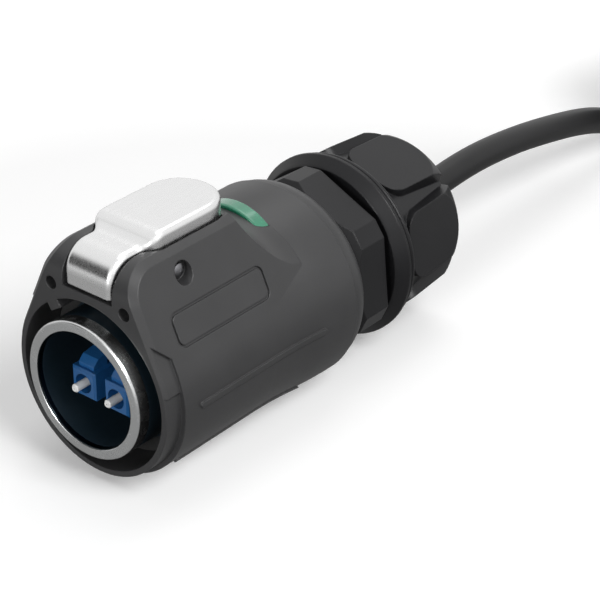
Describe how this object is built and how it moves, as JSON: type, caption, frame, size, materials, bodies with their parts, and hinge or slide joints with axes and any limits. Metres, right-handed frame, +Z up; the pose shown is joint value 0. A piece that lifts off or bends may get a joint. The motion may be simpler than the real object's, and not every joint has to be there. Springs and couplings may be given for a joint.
{
  "type": "waterproof fibre connector",
  "caption": "Round waterproof duplex fibre plug with a press latch, metal-rimmed barrel, blue ferrule plugs, cable gland and a tied hank of cable.",
  "frame": {"origin": "on the surface it lies on, under the middle of the connector without its free cable", "axes": "+Z up towards the latch, +Y back along the axis towards the cable, +X to the right seen from the mouth"},
  "size_m": [0.0431, 0.2218, 0.038],
  "materials": {
    "shell_black": "fine satin moulded plastic",
    "barrel_black": "smooth satin plastic",
    "gland_black": "satin moulded plastic",
    "holder_black": "dark moulded plastic",
    "claw_grey": "plain moulded plastic",
    "mark_green": "glossy clear-coated green",
    "ring_nickel": "bright nickel plate",
    "latch_nickel": "satin pearl nickel plate on a casting",
    "pin_steel": "turned steel",
    "spring_steel": "drawn wire",
    "turned_brass": "turned brass",
    "plug_blue": "smooth moulded plastic",
    "ferrule_white": "polished zirconia",
    "boot_white": "soft moulded plastic",
    "fibre_white": "tight buffer on the fibre",
    "seal_rubber": "soft rubber",
    "cable_jacket": "extruded satin jacket",
    "tie_black": "woven strap",
    "cap_rubber": "shrunk sleeve"
  },
  "bodies": {
    "root": {"shell": "shell_black", "lock_mark": "mark_green", "front_ring": "ring_nickel", "front_barrel": "barrel_black", "face_seal": "seal_rubber", "barrel_lock_ring": "turned_brass", "lc_holder": "holder_black", "holder_cover": "holder_black", "latch_pin": "pin_steel", "latch_spring": "spring_steel", "gland_body": "gland_black", "gland_o_ring": "seal_rubber", "clamp_claw": "claw_grey", "cable_seal": "seal_rubber", "cable_stub": "cable_jacket", "cable": "cable_jacket", "cable_hank": "cable_jacket", "hank_tie": "tie_black", "cable_tail": "cable_jacket", "cable_end_cap": "cap_rubber", "lc_housing_left": "plug_blue", "ferrule_spring_left": "spring_steel", "lc_backpost_left": "turned_brass", "lc_boot_left": "boot_white", "fibre_left": "fibre_white", "lc_housing_right": "plug_blue", "ferrule_spring_right": "spring_steel", "lc_backpost_right": "turned_brass", "lc_boot_right": "boot_white", "fibre_right": "fibre_white"},
    "latch": {"latch": "latch_nickel"},
    "gland_washer": {"slip_washer": "claw_grey"},
    "gland_nut": {"gland_nut": "gland_black"},
    "ferrule_left": {"ferrule_left": "ferrule_white", "ferrule_flange_left": "pin_steel"},
    "ferrule_right": {"ferrule_right": "ferrule_white", "ferrule_flange_right": "pin_steel"}
  },
  "joints": [
    {"name": "latch_press", "type": "hinge", "parent": "root", "child": "latch", "pos_m": [0, -0.0241, 0.0323], "axis": [1, 0, 0], "range_deg": [-9, 0], "stiffness_Nm_per_rad": 0.3, "springref_deg": 8.59, "deforming": ["latch_spring"]},
    {"name": "ferrule_left_push", "type": "slide", "parent": "root", "child": "ferrule_left", "axis": [0, 1, 0], "range_m": [0, 0.0008], "stiffness_N_per_m": 600, "springref_m": -0.008, "deforming": ["ferrule_spring_left"]},
    {"name": "ferrule_right_push", "type": "slide", "parent": "root", "child": "ferrule_right", "axis": [0, 1, 0], "range_m": [0, 0.0008], "stiffness_N_per_m": 600, "springref_m": -0.008, "deforming": ["ferrule_spring_right"]},
    {"name": "nut_advance", "type": "slide", "parent": "root", "child": "gland_washer", "axis": [0, 1, 0], "range_m": [0, 0.003]},
    {"name": "nut_turn", "type": "hinge", "parent": "gland_washer", "child": "gland_nut", "pos_m": [0, 0.0281, 0.0157], "axis": [0, 1, 0], "range_deg": [0, 721]}
  ],
  "couplings": [
    {"joint": "nut_turn", "follows": "nut_advance", "rad_per_m": 4188.8}
  ]
}
